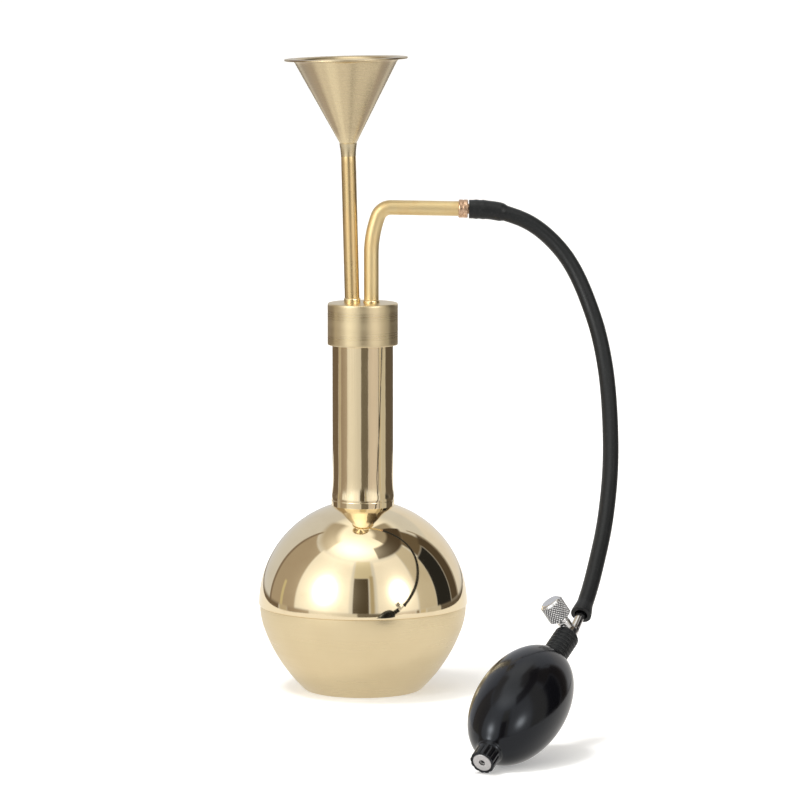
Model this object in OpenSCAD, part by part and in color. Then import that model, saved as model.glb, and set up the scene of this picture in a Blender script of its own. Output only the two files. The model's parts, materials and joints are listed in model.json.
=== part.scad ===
// Brass flask with a funnel stem, a bent blow pipe and a rubber squeeze bulb on a hose.
// Millimetres, +Z up. The origin is the centre of the flask's flat base, on the surface it stands on.
// +X is the way the blow pipe points, and the bulb lies in front, towards -Y.

/* [Flask] */
// Diameter of the spherical dome
flask_d = 100; // [98:0.5:102]
// Height of the seam between the bowl and the dome
seam_z = 41; // [40:0.5:42]
// Thickness of the spun brass sheet
sheet = 1; // [0.8:0.1:1.2]
// Step from the dome's edge in to the bowl
seam_step = 0.6; // [0.3:0.1:0.8]
// Radius of the bowl's rounded shoulder below the seam
shoulder_r = 34; // [32:0.5:36]
// Angle the shoulder turns through before the belly takes over, in degrees
shoulder_turn = 19; // [16:1:22]
// Radius of the bowl's wide belly, from the shoulder down to the base
belly_r = 73; // [66:1:80]
// Height of the rim that laps inside the dome
lap_h = 3; // [2:0.5:4]

/* [Neck] */
// Outer diameter of the neck tube
neck_d = 29; // [28:0.5:29.5]
// Height of the neck's mouth above the base
neck_top = 181.5; // [178:0.5:182]
// Height of the band round the foot of the neck
foot_ring_h = 3.4; // [2:0.2:5]
// How far the band stands out from the neck
foot_ring_t = 0.6; // [0.4:0.1:1]

/* [Cap] */
// Outer diameter of the cap
cap_d = 33.5; // [33:0.25:36]
// Height of the cap
cap_h = 20; // [18:0.5:22]
// Thickness of the cap's top plate
cap_plate = 2.7; // [2:0.1:3.5]
// Thickness of the sealing ring
gasket_t = 1.5; // [1:0.1:1.6]
// Running gap between the neck and the cap
cap_gap = 0.08; // [0.05:0.01:0.1]

/* [Pipes] */
// Outer diameter of both brass tubes
tube_d = 7; // [6.6:0.1:7.2]
// Wall thickness of both brass tubes
tube_wall = 0.8; // [0.6:0.1:1]
// Place of the funnel stem on the cap
stem_x = -5; // [-5.2:0.1:-4.8]
// Lean of the funnel stem away from the blow pipe, in degrees
stem_lean = 1.4; // [0:0.2:2]
// Height of the stem's lower end inside the neck
stem_foot_z = 150; // [140:1:165]
// Place of the blow pipe on the cap
pipe_x = 4.1; // [4:0.1:4.3]
// Height of the blow pipe's lower end inside the flask
pipe_foot_z = 70; // [60:1:90]
// Height of the horizontal run above the base
run_z = 231.3; // [230:0.1:232]
// Length of the horizontal run, to the pipe's end
run_len = 35; // [30:0.5:35]

/* [Funnel] */
// Outer diameter of the flat brim
brim_d = 58.4; // [56:0.2:60]
// Width of the flat brim
brim_w = 4.4; // [3:0.2:6]
// Length of the cone along its axis
cone_h = 39.6; // [36:0.2:42]
// Outer diameter of the cone's lower end
cone_foot_d = 8.6; // [8:0.1:10]
// Length of the spout that narrows to the stem
spout_h = 7; // [5:0.5:9]
// Distance along the stem from the cap to the spout
stem_len = 69.7; // [68:0.1:71]
// Thickness of the funnel's sheet
funnel_t = 0.9; // [0.7:0.1:1.2]

/* [Hose] */
// Outer diameter of the free hose
hose_d = 7.4; // [7:0.1:8]
// Outer diameter where the hose is stretched over the pipe's nipple
cuff_d = 8.9; // [8.4:0.1:9.2]
// Length of the stretched cuff
cuff_len = 15; // [12:1:16]
// Outer diameter of the hose's end on the valve
flare_d = 9.4; // [8.8:0.1:9.8]
// Bore of the free hose
hose_bore = 4; // [3.6:0.1:4.4]

/* [Bulb] */
// Half the length of the egg-shaped bulb
bulb_a = 35.8; // [35:0.1:36]
// Largest radius of the bulb
bulb_b = 20.4; // [20:0.1:20.6]
// Thickness of the rubber
bulb_wall = 2.2; // [1.8:0.1:2.6]
// Pitch of the bulb's axis above the floor, in degrees
bulb_pitch = 26.5; // [26:0.1:27]
// Direction of the bulb's axis, turned from +X about the vertical, in degrees
bulb_yaw = 62.5; // [60:0.5:65]
// Distance from the bulb's centre to the inlet end
tail_t = 43.1; // [42.5:0.1:43.5]
// Distance from the bulb's centre to the top of the head collar
head_t = 51.9; // [51:0.1:52.5]
// Outer diameter of the collar at the inlet end
tail_d = 11.2; // [11:0.1:11.4]
// Outer diameter of the collar at the head
head_d = 11.6; // [11:0.1:12.2]

/* [Release valve] */
// Diameter of the knurled thumb screw
knob_d = 10.8; // [10:0.2:11.4]
// Length of the thumb screw's knob
knob_len = 9.4; // [8.5:0.1:10]
// Number of ridges round the knob
knob_ridges = 40; // [30:1:48]
// Direction of the thumb screw round the bulb's axis, in degrees
knob_az = 157; // [150:1:165]
// Lean of the valve's tube towards the thumb screw, in degrees
valve_lean = 8.3; // [6:0.1:9]

/* [Hidden] */
$fn = 96;
eps = 0.01;
// Running clearance between moving parts, and how far a cut runs past what it cuts
clearance = 0.05;
over = 1;
edge_steps = 4;

// Flask, worked out from its outline
flask_r = flask_d / 2;
neck_r = neck_d / 2;
neck_bore_r = neck_r - sheet;
bowl_r = flask_r - seam_step;
arc_r = bowl_r - shoulder_r;
belly_c = [arc_r - (belly_r - shoulder_r) * cos(shoulder_turn),
  seam_z + (belly_r - shoulder_r) * sin(shoulder_turn)];
shoulder_steps = 6;
belly_steps = 9;
neck_root_z = seam_z + sqrt(pow(flask_r, 2) - pow(neck_r, 2));
neck_tuck = 2;
lap_gap = 0.15;
lap_turn = -2;
base_edge = 0.8;
foot_ring_top = neck_root_z + foot_ring_h - foot_ring_t;

// Cap, worked out from the neck's mouth
gasket_gap = 0.1;
gasket_w = 2.8;
cap_ceiling = neck_top + gasket_t + 2 * gasket_gap;
cap_top = cap_ceiling + cap_plate;
cap_edge = 0.7;
bush_wall = 0.4;
bush_r = tube_d / 2 + bush_wall;
bush_below = 1.5;
stem_bush_h = 1.7;
pipe_bush_h = 0.7;
solder_h = 0.5;
solder_foot = 0.1;
solder_top = 0.15;
tube_r = tube_d / 2;
tube_bore_r = tube_r - tube_wall;

// Spout of the funnel and the sleeve inside it
spout_neck_r = tube_r + 0.1;
spout_neck_h = 2;
sleeve_half = 5;
sleeve_wall = 0.5;

// Blow pipe: a straight leg, a slow bend, a tight bend, then the run
slow_r = 52;
slow_a = 20;
tight_r = 6.5;
run_slope = 1;
tight_a = 90 + run_slope - slow_a;
bend_dx = slow_r * (1 - cos(slow_a)) + tight_r * (cos(slow_a) - cos(slow_a + tight_a));
bend_dz = slow_r * sin(slow_a) + tight_r * (sin(slow_a + tight_a) - sin(slow_a));
leg_top = run_z - bend_dz;
run_x = pipe_x + bend_dx;
joint_lap = 0.3;
bend_swell = 0.02;

// Nipple on the end of the run
nipple_collar_r = 4.35;
nipple_collar_len = 4.4;
nipple_socket = 2.9;
nipple_tail_r = 2.4;
nipple_tail_len = 8;
nipple_barb_r = 2.6;
nipple_bore_r = 1.6;
barb_len = 2.2;
barb_pitch = 3.3;

// Bulb and its valves: t runs along the bulb's axis from its centre towards the head
bulb_at = [71, -175.5, 24.4];
collar_bore_r = 4;
tail_bore_r = 4.4;
rib_pitch = 2.4;
rib_steps = 6;
rib_depth = 0.45;
egg_steps = 22;
plug_foot_t = 39.5;
flange_t = 1.2;
flange_r = 4.7;
block_r = 3.7;
block_h = 3.6;
chamber_r = 2.2;
chamber_h = 8;
seat_h = 2;
seat_hole_r = 1;
ball_r = 1.7;
ball_gap = 0.08;
cage_t = 46.2;
cage_h = 1;
cage_holes = 4;
cage_hole_r = 0.45;
cage_ring_r = 1.3;
way_top = head_t + flange_t + 2;
tube_foot_t = 52.3;
tube_offset = 2.2;
valve_tube_r = 2.35;
valve_tube_bore = 1.1;
valve_tube_len = 22.7;
valve_barb_r = 2.55;
tube_bore_from = 0.3;
valve_barb_tip = 2;

// Thumb screw and its needle, measured out from the bulb's axis
knob_t = 56.2;
boss_r = 2.9;
boss_len = 7.5;
seat_len = 3.8;
seat_bore_r = 0.7;
needle_r = 1.45;
needle_bore_r = 1.5;
needle_tip_r = 0.3;
needle_start = 3.9;
needle_cone = 1.2;
packing_ring_r = 1.86;
packing_wire_r = 0.33;
packing_at = 6.9;
packing_groove_r = 2.2;
vent_r = 0.5;
vent_at = 5.6;
knob_at = 8;
knob_bore_depth = 4.5;
knob_slack = 0.5;
ridge_depth = 0.35;
knob_chamfer = 1.3;

// Inlet valve
disc_hole_r = 1.4;
disc_h = 1.2;
inlet_len = 10;
inlet_bore_r = 2.6;
inlet_ball_r = 2;
inlet_throat_r = 1.2;
inlet_seat = disc_h + 1.2;
retainer_h = 1;
retainer_ring_r = 1.5;
retainer_hole_r = 0.55;

// The hose's route, from the pipe's nipple to the valve's tube
route = [[50.5, 0, 230.5], [58, 0, 230.5], [65, -0.5, 229.5], [68, -1, 228.5], [73, -1.5, 227],
  [79.5, -2.5, 224.5], [86.5, -4, 219.5], [92.5, -6, 213.5], [97, -8, 208], [100.5, -10, 202],
  [104, -12.5, 195], [107, -15.5, 187], [109.5, -18.5, 180], [111.5, -22, 173.5], [114, -28, 161.5],
  [115.5, -35, 149], [116, -44, 135], [116, -55, 120], [115, -64, 109.5], [113.5, -73, 99],
  [111.5, -83, 88.5], [109, -91.5, 80.5], [106.5, -100.5, 72.5], [104.5, -107.5, 66.5],
  [102, -114.5, 60.5], [99.5, -121, 55.5]];
hose_sides = 10;
side_dir = [0, -1, 0.4];
cuff_bore_r = 3;
cuff_fade = 3;
flare_len = 8;

// Colours
brass = [0.80, 0.66, 0.38];
satin_brass = [0.78, 0.67, 0.43];
copper = [0.80, 0.58, 0.44];
rubber = [0.09, 0.09, 0.10];
chrome = [0.78, 0.78, 0.80];
steel = [0.62, 0.63, 0.65];

// Points of an arc about centre c, from angle a0 to a1
function arc(c, r, a0, a1, steps) = [for (i = [0:steps]) let (a = a0 + (a1 - a0) * i / steps)
  [c[0] + r * cos(a), c[1] + r * sin(a)]];
// Points of an arc after its first one, to carry on from an arc that ends there
function arc_on(c, r, a0, a1, steps) = [for (i = [1:steps]) let (a = a0 + (a1 - a0) * i / steps)
  [c[0] + r * cos(a), c[1] + r * sin(a)]];
// Radius of the bowl's belly at height z, set in from the outside by depth
function belly_at(z, depth) = belly_c[0] + sqrt(pow(belly_r - depth, 2) - pow(belly_c[1] - z, 2));
// Angle below the belly's centre at height z, set in from the outside by depth
function belly_turn(z, depth) = asin((belly_c[1] - z) / (belly_r - depth));
// Radius of the egg at t, for half axes a and b
function egg_r(t, a, b) = b * sqrt(max(0, 1 - pow(t / a, 2)));
// Where the egg's surface has the radius r, as a distance from its middle
function egg_t(r, a, b) = a * sqrt(1 - pow(r / b, 2));
// Outline of the egg from t0 to t1, for half axes a and b
function egg(t0, t1, a, b) = [for (i = [0:egg_steps])
  let (t = t0 + (t1 - t0) * (1 - cos(180 * i / egg_steps)) / 2) [egg_r(t, a, b), t]];
// Collar outline with rounded ribs, from t0 to t1
function ribbed(t0, t1, r) = [for (t = [t0:rib_pitch / rib_steps:t1])
  [r - rib_depth * pow(sin(180 * (t - t1) / rib_pitch), 2), t]];

// Distance along the route to point i
function along(i) = i == 0 ? 0 : along(i - 1) + norm(route[i] - route[i - 1]);
function unit(v) = v / norm(v);
function heading(i) = unit(route[min(i + 1, len(route) - 1)] - route[max(i - 1, 0)]);
// Share of the way through a soft step that starts at a and is over at b
function ease(s, a, b) = let (k = min(1, max(0, (s - a) / (b - a)))) k * k * (3 - 2 * k);
route_len = along(len(route) - 1);
function hose_r(s) = hose_d / 2 + (cuff_d - hose_d) / 2 * (1 - ease(s, cuff_len, cuff_len + cuff_fade))
  + (flare_d - hose_d) / 2 * ease(s, route_len - flare_len, route_len);
function bore_r(s) = let (k = max(1 - ease(s, cuff_len, cuff_len + cuff_fade),
  ease(s, route_len - flare_len - cuff_fade, route_len - flare_len)))
  hose_bore / 2 + (cuff_bore_r - hose_bore / 2) * k;
// One ring of points about route point i, level with the floor on its first side
function ring(i, r) = let (d = heading(i), side = unit(cross(side_dir, d)), up = cross(d, side))
  [for (j = [0:hose_sides - 1]) route[i]
    + r * (cos(360 * j / hose_sides) * side + sin(360 * j / hose_sides) * up)];

// Frames in which the sub-assemblies are drawn, each with its own +Z
module on_stem() {
  translate([stem_x, 0, cap_top]) rotate([0, -stem_lean, 0]) children();
}
module on_run() {
  translate([run_x, 0, run_z]) rotate([0, 90 + run_slope, 0]) children();
}
module on_bulb() {
  translate(bulb_at) rotate([0, 90 - bulb_pitch, bulb_yaw]) children();
}
module on_valve_tube() {
  on_bulb() rotate([0, 0, knob_az]) translate([-tube_offset, 0, tube_foot_t])
    rotate([0, valve_lean, 0]) children();
}
module on_knob() {
  on_bulb() translate([0, 0, knob_t]) rotate([0, 0, knob_az]) rotate([0, 90, 0]) children();
}

// A round tube from z0 to z1
module pipe(r, bore, z0, z1) {
  translate([0, 0, z0]) difference() {
    cylinder(r = r, h = z1 - z0);
    translate([0, 0, -over]) cylinder(r = bore, h = z1 - z0 + 2 * over);
  }
}
// A bent rod that starts at the origin along +Z and turns towards +X
module elbow(r, bend, angle) {
  translate([bend, 0, 0]) rotate([90, 0, 0]) mirror([1, 0, 0])
    rotate_extrude(angle = angle) translate([bend, 0]) circle(r = r);
}
// The blow pipe's whole path as a solid rod; each bend is a hair thicker than what runs into it
module pipe_path(r, extra) {
  translate([pipe_x, 0, pipe_foot_z - extra])
    cylinder(r = r, h = leg_top - pipe_foot_z + extra + joint_lap);
  translate([pipe_x, 0, leg_top]) elbow(r + bend_swell, slow_r, slow_a + joint_lap);
  translate([pipe_x + slow_r * (1 - cos(slow_a)), 0, leg_top + slow_r * sin(slow_a)])
    rotate([0, slow_a, 0]) elbow(r + 2 * bend_swell, tight_r, tight_a);
  on_run() translate([0, 0, -joint_lap]) cylinder(r = r, h = run_len + extra + joint_lap);
}

// Flask
module flask_bowl() {
  lap_r = flask_r - sheet - lap_gap;
  color(satin_brass) rotate_extrude() polygon(concat(
    [[0, 0], [belly_at(0, 0) - base_edge, 0]],
    arc(belly_c, belly_r, -belly_turn(base_edge, 0), -shoulder_turn, belly_steps),
    arc_on([arc_r, seam_z], shoulder_r, -shoulder_turn, 0, shoulder_steps),
    [[lap_r, seam_z], [lap_r, seam_z + lap_h], [lap_r - sheet, seam_z + lap_h]],
    arc([arc_r, seam_z], shoulder_r - sheet, lap_turn, -shoulder_turn, shoulder_steps),
    arc_on(belly_c, belly_r - sheet, -shoulder_turn, -belly_turn(sheet, sheet), belly_steps),
    [[0, sheet]]));
}
module flask_dome() {
  color(brass) difference() {
    translate([0, 0, seam_z]) sphere(r = flask_r);
    translate([0, 0, seam_z]) sphere(r = flask_r - sheet);
    translate([0, 0, seam_z - flask_d]) cube(2 * flask_d, center = true);
    translate([0, 0, seam_z]) cylinder(r = neck_r, h = flask_d);
  }
}
module neck_foot_ring() {
  color(brass) difference() {
    pipe(neck_r + foot_ring_t, neck_r, neck_root_z - over, foot_ring_top);
    translate([0, 0, seam_z]) sphere(r = flask_r);
  }
}
module neck_tube() {
  color(brass) pipe(neck_r, neck_bore_r, neck_root_z - neck_tuck, neck_top);
}

// Cap and the parts soldered into it
module cap_gasket() {
  foot = neck_top + gasket_gap;
  color(rubber) pipe(neck_r - gasket_gap, neck_r - gasket_w, foot, foot + gasket_t);
}
module cap() {
  cap_r = cap_d / 2;
  foot = cap_top - cap_h;
  color(satin_brass) difference() {
    rotate_extrude() polygon(concat(
      [[0, foot], [cap_r - cap_edge / 2, foot], [cap_r, foot + cap_edge / 2]],
      arc([cap_r - cap_edge, cap_top - cap_edge], cap_edge, 0, 90, edge_steps), [[0, cap_top]]));
    translate([0, 0, foot - over]) cylinder(r = neck_r + cap_gap, h = cap_ceiling - foot + over);
    on_stem() translate([0, 0, -cap_h / 2]) cylinder(r = bush_r, h = cap_h);
    translate([pipe_x, 0, cap_top - cap_h / 2]) cylinder(r = bush_r, h = cap_h);
  }
}
module stem_bush() {
  color(satin_brass) on_stem() pipe(bush_r, tube_r, -cap_plate - bush_below, stem_bush_h);
}
module pipe_bush() {
  color(satin_brass) translate([pipe_x, 0, cap_top])
    pipe(bush_r, tube_r, -cap_plate - bush_below, pipe_bush_h);
}
// A fillet of solder: widest where it meets the bush, thin at its top
module solder_fillet(z) {
  translate([0, 0, z]) rotate_extrude()
    polygon([[tube_r, 0], [bush_r + solder_foot, 0], [bush_r, solder_h / 2],
      [tube_r + solder_top, solder_h], [tube_r, solder_h]]);
}
module stem_solder() {
  color(copper) on_stem() solder_fillet(stem_bush_h);
}
module pipe_solder() {
  color(copper) translate([pipe_x, 0, cap_top]) solder_fillet(pipe_bush_h);
}

// Funnel on its stem
module funnel_stem() {
  color(brass) on_stem() pipe(tube_r, tube_bore_r, stem_foot_z - cap_top, stem_len);
}
module funnel_sleeve() {
  color(copper) on_stem()
    pipe(tube_bore_r, tube_bore_r - sleeve_wall, stem_len - sleeve_half, stem_len + spout_h / 2);
}
module funnel() {
  throat = cone_foot_d / 2;
  lip = brim_d / 2 - brim_w;
  z1 = stem_len + spout_h;
  z2 = z1 + cone_h;
  color(satin_brass) on_stem() rotate_extrude() polygon([
    [tube_bore_r, stem_len], [tube_r, stem_len], [spout_neck_r, stem_len + spout_neck_h], [throat, z1],
    [lip, z2 - funnel_t], [brim_d / 2, z2 - funnel_t], [brim_d / 2, z2], [lip - funnel_t, z2],
    [throat - funnel_t, z1 + funnel_t / 3], [tube_bore_r, stem_len + spout_h / 2]]);
}

// Blow pipe and the nipple that the hose is pushed on
module blow_pipe() {
  color(brass) difference() {
    pipe_path(tube_r, 0);
    pipe_path(tube_bore_r, over);
  }
}
module hose_nipple() {
  shoulder = run_len + nipple_collar_len - nipple_socket;
  color(copper) on_run() difference() {
    union() {
      translate([0, 0, run_len - nipple_socket]) cylinder(r = nipple_collar_r, h = nipple_collar_len);
      translate([0, 0, shoulder - eps]) cylinder(r = nipple_tail_r, h = nipple_tail_len);
      for (i = [1:2]) translate([0, 0, shoulder + nipple_tail_len - i * barb_pitch])
        cylinder(r1 = nipple_barb_r, r2 = nipple_tail_r, h = barb_len);
    }
    translate([0, 0, run_len - nipple_socket - over]) cylinder(r = tube_r, h = nipple_socket + over);
    translate([0, 0, run_len - over]) cylinder(r = nipple_bore_r, h = 2 * nipple_tail_len);
  }
}

// Hose, swept along its route
module hose() {
  n = len(route);
  s = hose_sides;
  outer = [for (i = [0:n - 1]) each ring(i, hose_r(along(i)))];
  inner = [for (i = [0:n - 1]) each ring(i, bore_r(along(i)))];
  m = n * s;
  last = (n - 1) * s;
  walls = [for (i = [0:n - 2], j = [0:s - 1]) let (a = i * s + j, b = i * s + (j + 1) % s)
    each [[a, b, b + s], [a, b + s, a + s], [m + b, m + a, m + b + s],
      [m + a, m + a + s, m + b + s]]];
  ends = [for (j = [0:s - 1]) let (k = (j + 1) % s)
    each [[k, j, m + j], [k, m + j, m + k], [last + j, last + k, m + last + j],
      [last + k, m + last + k, m + last + j]]];
  faces = [for (f = concat(walls, ends)) [f[0], f[2], f[1]]];
  color(rubber) polyhedron(points = concat(outer, inner), faces = faces);
}

// Bulb, with its collars
module squeeze_bulb() {
  a = bulb_a;
  b = bulb_b;
  tail_r = tail_d / 2;
  head_r = head_d / 2;
  t0 = -egg_t(tail_r, a, b);
  t1 = egg_t(head_r, a, b);
  ai = a - bulb_wall;
  bi = b - bulb_wall;
  i0 = -egg_t(tail_bore_r, ai, bi);
  i1 = egg_t(collar_bore_r, ai, bi);
  color(rubber) on_bulb() rotate_extrude() polygon(concat(
    [[tail_bore_r, -tail_t], [tail_r - rib_depth, -tail_t]],
    ribbed(-tail_t + rib_pitch / 2, t0 - rib_depth, tail_r),
    egg(t0, t1, a, b),
    ribbed(t1 + rib_depth, head_t - rib_pitch / 2, head_r),
    [[head_r - rib_depth, head_t], [collar_bore_r, head_t]],
    egg(i1, i0, ai, bi)));
}

// Release valve
module valve_body() {
  color(chrome) difference() {
    union() {
      on_bulb() translate([0, 0, plug_foot_t]) cylinder(r = collar_bore_r, h = head_t - plug_foot_t);
      on_bulb() translate([0, 0, head_t]) cylinder(r = flange_r, h = flange_t);
      on_bulb() translate([0, 0, head_t]) cylinder(r = block_r, h = flange_t + block_h);
      on_knob() cylinder(r = boss_r, h = boss_len);
      on_valve_tube() cylinder(r = valve_tube_r, h = valve_tube_len);
      on_valve_tube() translate([0, 0, valve_tube_len - barb_len])
        cylinder(r1 = valve_barb_r, r2 = valve_barb_tip, h = barb_len);
    }
    on_bulb() translate([0, 0, plug_foot_t - over]) cylinder(r = chamber_r, h = chamber_h + over);
    on_bulb() translate([0, 0, plug_foot_t]) cylinder(r = seat_hole_r, h = way_top - plug_foot_t);
    on_valve_tube() translate([0, 0, tube_bore_from]) cylinder(r = valve_tube_bore, h = valve_tube_len);
    on_knob() cylinder(r = seat_bore_r, h = boss_len);
    on_knob() translate([0, 0, seat_len]) cylinder(r = needle_bore_r, h = boss_len);
    on_knob() translate([0, 0, packing_at - packing_wire_r - clearance])
      cylinder(r = packing_groove_r, h = boss_len);
    on_knob() translate([0, 0, vent_at]) rotate([90, 0, 0]) cylinder(r = vent_r, h = 2 * boss_r);
  }
}
module outlet_seat() {
  color(steel) on_bulb() pipe(chamber_r, seat_hole_r, plug_foot_t, plug_foot_t + seat_h);
}
module outlet_cage() {
  color(steel) on_bulb() translate([0, 0, cage_t]) difference() {
    cylinder(r = chamber_r, h = cage_h);
    for (i = [0:cage_holes - 1]) rotate([0, 0, 360 * i / cage_holes])
      translate([cage_ring_r, 0, -over]) cylinder(r = cage_hole_r, h = cage_h + 2 * over);
  }
}
module needle_packing() {
  color(rubber) on_knob() translate([0, 0, packing_at]) rotate_extrude()
    translate([packing_ring_r, 0]) circle(r = packing_wire_r);
}
// A ball that rests on the edge of a hole, just clear of it
module seated_ball(r, hole, seat_top) {
  translate([0, 0, seat_top + sqrt(r * r - hole * hole) + ball_gap]) sphere(r = r);
}
module outlet_ball() {
  color(steel) on_bulb() seated_ball(ball_r, seat_hole_r, plug_foot_t + seat_h);
}
module release_needle() {
  shank_end = knob_at + knob_bore_depth - knob_slack;
  color(steel) on_knob() rotate_extrude() polygon([[0, needle_start], [needle_tip_r, needle_start],
    [needle_r, needle_start + needle_cone], [needle_r, shank_end], [0, shank_end]]);
}
module release_knob() {
  ridges = [for (i = [0:2 * knob_ridges - 1])
    let (r = knob_d / 2 - (i % 2) * ridge_depth, a = 180 * i / knob_ridges) [r * cos(a), r * sin(a)]];
  color(chrome) on_knob() translate([0, 0, knob_at]) difference() {
    union() {
      linear_extrude(height = knob_len - knob_chamfer) polygon(ridges);
      translate([0, 0, knob_len - knob_chamfer - eps])
        cylinder(r1 = knob_d / 2 - ridge_depth, r2 = knob_d / 2 - knob_chamfer, h = knob_chamfer);
    }
    translate([0, 0, -over]) cylinder(r = needle_bore_r, h = knob_bore_depth + over);
  }
}

// Inlet valve in the bulb's tail
module inlet_housing() {
  color(steel) on_bulb() translate([0, 0, -tail_t]) difference() {
    cylinder(r = tail_bore_r - clearance, h = inlet_len);
    translate([0, 0, -over]) cylinder(r = disc_hole_r, h = disc_h + over);
    cylinder(r = inlet_throat_r, h = inlet_len);
    translate([0, 0, inlet_seat]) cylinder(r = inlet_bore_r, h = inlet_len);
  }
}
module inlet_retainer() {
  color(steel) on_bulb() translate([0, 0, inlet_len - tail_t - retainer_h]) difference() {
    cylinder(r = inlet_bore_r, h = retainer_h);
    for (i = [0:cage_holes - 1]) rotate([0, 0, 360 * i / cage_holes])
      translate([retainer_ring_r, 0, -over]) cylinder(r = retainer_hole_r, h = retainer_h + 2 * over);
  }
}
module inlet_ball() {
  color(steel) on_bulb() seated_ball(inlet_ball_r, inlet_throat_r, -tail_t + inlet_seat);
}

flask_bowl();
flask_dome();
neck_foot_ring();
neck_tube();
cap_gasket();
cap();
stem_bush();
pipe_bush();
stem_solder();
pipe_solder();
funnel_stem();
funnel_sleeve();
funnel();
blow_pipe();
hose_nipple();
hose();
squeeze_bulb();
valve_body();
outlet_seat();
outlet_cage();
needle_packing();
outlet_ball();
release_needle();
release_knob();
inlet_housing();
inlet_retainer();
inlet_ball();
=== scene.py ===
import json
import math

import bmesh
import bpy
import numpy as np
from mathutils import Matrix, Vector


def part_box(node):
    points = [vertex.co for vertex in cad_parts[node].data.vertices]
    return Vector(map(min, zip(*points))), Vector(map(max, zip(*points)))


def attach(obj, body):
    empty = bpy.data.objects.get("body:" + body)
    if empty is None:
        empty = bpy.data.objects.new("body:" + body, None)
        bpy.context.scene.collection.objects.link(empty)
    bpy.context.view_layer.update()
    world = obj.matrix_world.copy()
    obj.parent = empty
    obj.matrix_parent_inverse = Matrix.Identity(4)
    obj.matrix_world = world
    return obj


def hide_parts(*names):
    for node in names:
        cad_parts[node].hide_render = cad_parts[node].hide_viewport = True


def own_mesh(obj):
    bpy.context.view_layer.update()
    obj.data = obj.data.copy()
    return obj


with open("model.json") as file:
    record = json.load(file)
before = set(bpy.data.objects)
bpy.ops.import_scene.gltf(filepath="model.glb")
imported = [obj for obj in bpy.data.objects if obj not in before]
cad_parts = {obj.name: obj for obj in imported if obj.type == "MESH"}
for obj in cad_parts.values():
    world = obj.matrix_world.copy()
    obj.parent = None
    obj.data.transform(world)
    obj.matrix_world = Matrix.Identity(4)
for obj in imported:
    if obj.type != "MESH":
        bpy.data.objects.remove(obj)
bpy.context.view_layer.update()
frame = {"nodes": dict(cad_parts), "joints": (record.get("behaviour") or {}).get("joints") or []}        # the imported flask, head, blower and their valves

mm = 0.001
joints = {joint["name"]: joint for joint in frame["joints"]}


# Camera: a long lens that looks a little down on the flask
camera = {"place": (0.01774, -2.06355, 0.37694), "down": 6.571, "lens": 195.84, "sensor": 36}

cameraData = bpy.data.cameras.new("camera")
cameraData.lens = camera["lens"]
cameraData.sensor_width = camera["sensor"]
cameraObject = bpy.data.objects.new("camera", cameraData)
cameraObject.location = camera["place"]
cameraObject.rotation_euler = (math.radians(90 - camera["down"]), 0, 0)
bpy.context.scene.collection.objects.link(cameraObject)
bpy.context.scene.camera = cameraObject
bpy.context.scene.view_settings.view_transform = "Standard"
print("camera set")


class Signal:
    # One socket. Sums, products and powers on it add Math nodes.
    def __init__(self, mixer, socket):
        self.mixer = mixer
        self.socket = socket

    def mathWith(self, operation, first, second=0.5):
        return self.mixer.node("ShaderNodeMath", {"operation": operation}, {0: first, 1: second})

    def __add__(self, other):
        return self.mathWith("ADD", self, other)

    def __sub__(self, other):
        return self.mathWith("SUBTRACT", self, other)

    def __mul__(self, other):
        return self.mathWith("MULTIPLY", self, other)

    def __truediv__(self, other):
        return self.mathWith("DIVIDE", self, other)

    def __pow__(self, other):
        return self.mathWith("POWER", self, other)

    def __rsub__(self, other):
        return self.mathWith("SUBTRACT", other, self)

    def __rtruediv__(self, other):
        return self.mathWith("DIVIDE", other, self)

    def __neg__(self):
        return self.mathWith("MULTIPLY", self, -1.0)

    __radd__ = __add__
    __rmul__ = __mul__


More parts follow.
